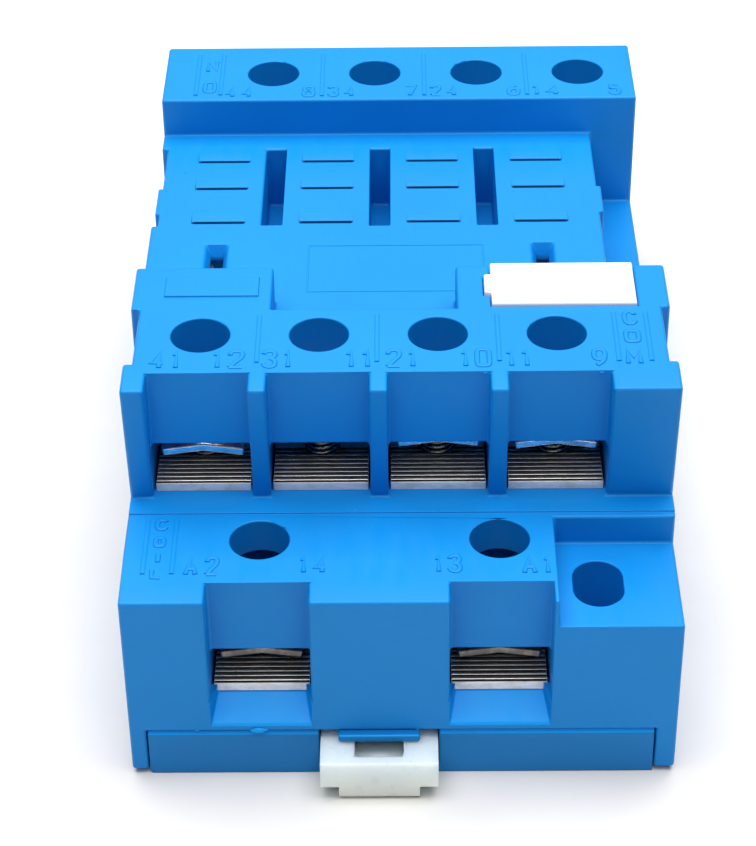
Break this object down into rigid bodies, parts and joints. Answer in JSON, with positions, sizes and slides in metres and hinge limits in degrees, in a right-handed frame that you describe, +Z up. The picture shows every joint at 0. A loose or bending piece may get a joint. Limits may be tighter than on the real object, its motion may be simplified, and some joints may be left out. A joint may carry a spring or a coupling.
{
  "type": "relay socket",
  "caption": "Plug-in relay socket: blue moulded block with stepped screw-terminal decks, a sunk seat with blade slots and a sliding rail clip.",
  "frame": {"origin": "on the panel plane, under the middle of the overall length and width", "axes": "+X across the terminals to the right as seen from the coil end, +Y from the coil end to the far end, +Z up from the panel"},
  "size_m": [0.0462, 0.0886, 0.0319],
  "materials": {
    "housing_blue": "satin moulded plastic",
    "base_blue": "satin moulded plastic, a little darker",
    "clip_natural": "milky, slightly translucent",
    "tag_white": "plain white",
    "contact_metal": "nickel-plated brass sheet",
    "clamp_steel": "zinc-plated steel sheet",
    "screw_steel": "zinc-plated steel"
  },
  "bodies": {
    "socket_body": {"housing": "housing_blue", "base_plate": "base_blue", "marker_tag": "tag_white", "common_contact_1": "contact_metal", "common_contact_2": "contact_metal", "common_contact_3": "contact_metal", "common_contact_4": "contact_metal", "open_contact_1": "contact_metal", "open_contact_2": "contact_metal", "open_contact_3": "contact_metal", "open_contact_4": "contact_metal", "closed_contact_1": "contact_metal", "closed_contact_2": "contact_metal", "closed_contact_3": "contact_metal", "closed_contact_4": "contact_metal", "coil_contact_1": "contact_metal", "coil_contact_2": "contact_metal"},
    "rail_clip": {"rail_clip": "clip_natural"},
    "common_clamp_1": {"common_clamp_1": "clamp_steel"},
    "common_screw_1": {"common_screw_1": "screw_steel"},
    "common_clamp_2": {"common_clamp_2": "clamp_steel"},
    "common_screw_2": {"common_screw_2": "screw_steel"},
    "common_clamp_3": {"common_clamp_3": "clamp_steel"},
    "common_screw_3": {"common_screw_3": "screw_steel"},
    "common_clamp_4": {"common_clamp_4": "clamp_steel"},
    "common_screw_4": {"common_screw_4": "screw_steel"},
    "open_clamp_1": {"open_clamp_1": "clamp_steel"},
    "open_screw_1": {"open_screw_1": "screw_steel"},
    "open_clamp_2": {"open_clamp_2": "clamp_steel"},
    "open_screw_2": {"open_screw_2": "screw_steel"},
    "open_clamp_3": {"open_clamp_3": "clamp_steel"},
    "open_screw_3": {"open_screw_3": "screw_steel"},
    "open_clamp_4": {"open_clamp_4": "clamp_steel"},
    "open_screw_4": {"open_screw_4": "screw_steel"},
    "closed_clamp_1": {"closed_clamp_1": "clamp_steel"},
    "closed_screw_1": {"closed_screw_1": "screw_steel"},
    "closed_clamp_2": {"closed_clamp_2": "clamp_steel"},
    "closed_screw_2": {"closed_screw_2": "screw_steel"},
    "closed_clamp_3": {"closed_clamp_3": "clamp_steel"},
    "closed_screw_3": {"closed_screw_3": "screw_steel"},
    "closed_clamp_4": {"closed_clamp_4": "clamp_steel"},
    "closed_screw_4": {"closed_screw_4": "screw_steel"},
    "coil_clamp_1": {"coil_clamp_1": "clamp_steel"},
    "coil_screw_1": {"coil_screw_1": "screw_steel"},
    "coil_clamp_2": {"coil_clamp_2": "clamp_steel"},
    "coil_screw_2": {"coil_screw_2": "screw_steel"}
  },
  "joints": [
    {"name": "rail_clip_slide", "type": "slide", "parent": "socket_body", "child": "rail_clip", "axis": [0, -1, 0], "range_m": [0, 0.003]},
    {"name": "common_clamp_1_slide", "type": "slide", "parent": "socket_body", "child": "common_clamp_1", "axis": [0, 0, 1], "range_m": [-0.0016, 0.002]},
    {"name": "common_screw_1_turn", "type": "hinge", "parent": "common_clamp_1", "child": "common_screw_1", "pos_m": [-0.01685, -0.0212, 0.02325], "axis": [0, 0, 1], "range_deg": [-1152.5, 1440.5]},
    {"name": "common_clamp_2_slide", "type": "slide", "parent": "socket_body", "child": "common_clamp_2", "axis": [0, 0, 1], "range_m": [-0.0032, 0.0004]},
    {"name": "common_screw_2_turn", "type": "hinge", "parent": "common_clamp_2", "child": "common_screw_2", "pos_m": [-0.00685, -0.0212, 0.02485], "axis": [0, 0, 1], "range_deg": [-2304.5, 288.5]},
    {"name": "common_clamp_3_slide", "type": "slide", "parent": "socket_body", "child": "common_clamp_3", "axis": [0, 0, 1], "range_m": [-0.0024, 0.0012]},
    {"name": "common_screw_3_turn", "type": "hinge", "parent": "common_clamp_3", "child": "common_screw_3", "pos_m": [0.00315, -0.0212, 0.02405], "axis": [0, 0, 1], "range_deg": [-1728.5, 864.5]},
    {"name": "common_clamp_4_slide", "type": "slide", "parent": "socket_body", "child": "common_clamp_4", "axis": [0, 0, 1], "range_m": [-0.0021, 0.0015]},
    {"name": "common_screw_4_turn", "type": "hinge", "parent": "common_clamp_4", "child": "common_screw_4", "pos_m": [0.01315, -0.0212, 0.02375], "axis": [0, 0, 1], "range_deg": [-1512.5, 1080.5]},
    {"name": "open_clamp_1_slide", "type": "slide", "parent": "socket_body", "child": "open_clamp_1", "axis": [0, 0, 1], "range_m": [-0.0027, 0.0009]},
    {"name": "open_screw_1_turn", "type": "hinge", "parent": "open_clamp_1", "child": "open_screw_1", "pos_m": [-0.01235, 0.02445, 0.02435], "axis": [0, 0, 1], "range_deg": [-1944.5, 648.5]},
    {"name": "open_clamp_2_slide", "type": "slide", "parent": "socket_body", "child": "open_clamp_2", "axis": [0, 0, 1], "range_m": [-0.0023, 0.0013]},
    {"name": "open_screw_2_turn", "type": "hinge", "parent": "open_clamp_2", "child": "open_screw_2", "pos_m": [-0.00235, 0.02445, 0.02395], "axis": [0, 0, 1], "range_deg": [-1656.5, 936.5]},
    {"name": "open_clamp_3_slide", "type": "slide", "parent": "socket_body", "child": "open_clamp_3", "axis": [0, 0, 1], "range_m": [-0.0029, 0.0007]},
    {"name": "open_screw_3_turn", "type": "hinge", "parent": "open_clamp_3", "child": "open_screw_3", "pos_m": [0.00765, 0.02445, 0.02455], "axis": [0, 0, 1], "range_deg": [-2088.5, 504.5]},
    {"name": "open_clamp_4_slide", "type": "slide", "parent": "socket_body", "child": "open_clamp_4", "axis": [0, 0, 1], "range_m": [-0.0025, 0.0011]},
    {"name": "open_screw_4_turn", "type": "hinge", "parent": "open_clamp_4", "child": "open_screw_4", "pos_m": [0.01765, 0.02445, 0.02415], "axis": [0, 0, 1], "range_deg": [-1800.5, 792.5]},
    {"name": "closed_clamp_1_slide", "type": "slide", "parent": "socket_body", "child": "closed_clamp_1", "axis": [0, 0, 1], "range_m": [-0.0027, 0.0009]},
    {"name": "closed_screw_1_turn", "type": "hinge", "parent": "closed_clamp_1", "child": "closed_screw_1", "pos_m": [-0.01235, 0.03635, 0.01225], "axis": [0, 0, 1], "range_deg": [-1944.5, 648.5]},
    {"name": "closed_clamp_2_slide", "type": "slide", "parent": "socket_body", "child": "closed_clamp_2", "axis": [0, 0, 1], "range_m": [-0.0023, 0.0013]},
    {"name": "closed_screw_2_turn", "type": "hinge", "parent": "closed_clamp_2", "child": "closed_screw_2", "pos_m": [-0.00235, 0.03635, 0.01185], "axis": [0, 0, 1], "range_deg": [-1656.5, 936.5]},
    {"name": "closed_clamp_3_slide", "type": "slide", "parent": "socket_body", "child": "closed_clamp_3", "axis": [0, 0, 1], "range_m": [-0.0029, 0.0007]},
    {"name": "closed_screw_3_turn", "type": "hinge", "parent": "closed_clamp_3", "child": "closed_screw_3", "pos_m": [0.00765, 0.03635, 0.01245], "axis": [0, 0, 1], "range_deg": [-2088.5, 504.5]},
    {"name": "closed_clamp_4_slide", "type": "slide", "parent": "socket_body", "child": "closed_clamp_4", "axis": [0, 0, 1], "range_m": [-0.0025, 0.0011]},
    {"name": "closed_screw_4_turn", "type": "hinge", "parent": "closed_clamp_4", "child": "closed_screw_4", "pos_m": [0.01765, 0.03635, 0.01205], "axis": [0, 0, 1], "range_deg": [-1800.5, 792.5]},
    {"name": "coil_clamp_1_slide", "type": "slide", "parent": "socket_body", "child": "coil_clamp_1", "axis": [0, 0, 1], "range_m": [-0.0013, 0.0023]},
    {"name": "coil_screw_1_turn", "type": "hinge", "parent": "coil_clamp_1", "child": "coil_screw_1", "pos_m": [-0.01185, -0.0331, 0.01085], "axis": [0, 0, 1], "range_deg": [-936.5, 1656.5]},
    {"name": "coil_clamp_2_slide", "type": "slide", "parent": "socket_body", "child": "coil_clamp_2", "axis": [0, 0, 1], "range_m": [-0.0012, 0.0024]},
    {"name": "coil_screw_2_turn", "type": "hinge", "parent": "coil_clamp_2", "child": "coil_screw_2", "pos_m": [0.00815, -0.0331, 0.01075], "axis": [0, 0, 1], "range_deg": [-864.5, 1728.5]}
  ],
  "couplings": [
    {"joint": "common_screw_1_turn", "follows": "common_clamp_1_slide", "rad_per_m": 12566},
    {"joint": "common_screw_2_turn", "follows": "common_clamp_2_slide", "rad_per_m": 12566},
    {"joint": "common_screw_3_turn", "follows": "common_clamp_3_slide", "rad_per_m": 12566},
    {"joint": "common_screw_4_turn", "follows": "common_clamp_4_slide", "rad_per_m": 12566},
    {"joint": "open_screw_1_turn", "follows": "open_clamp_1_slide", "rad_per_m": 12566},
    {"joint": "open_screw_2_turn", "follows": "open_clamp_2_slide", "rad_per_m": 12566},
    {"joint": "open_screw_3_turn", "follows": "open_clamp_3_slide", "rad_per_m": 12566},
    {"joint": "open_screw_4_turn", "follows": "open_clamp_4_slide", "rad_per_m": 12566},
    {"joint": "closed_screw_1_turn", "follows": "closed_clamp_1_slide", "rad_per_m": 12566},
    {"joint": "closed_screw_2_turn", "follows": "closed_clamp_2_slide", "rad_per_m": 12566},
    {"joint": "closed_screw_3_turn", "follows": "closed_clamp_3_slide", "rad_per_m": 12566},
    {"joint": "closed_screw_4_turn", "follows": "closed_clamp_4_slide", "rad_per_m": 12566},
    {"joint": "coil_screw_1_turn", "follows": "coil_clamp_1_slide", "rad_per_m": 12566},
    {"joint": "coil_screw_2_turn", "follows": "coil_clamp_2_slide", "rad_per_m": 12566}
  ]
}
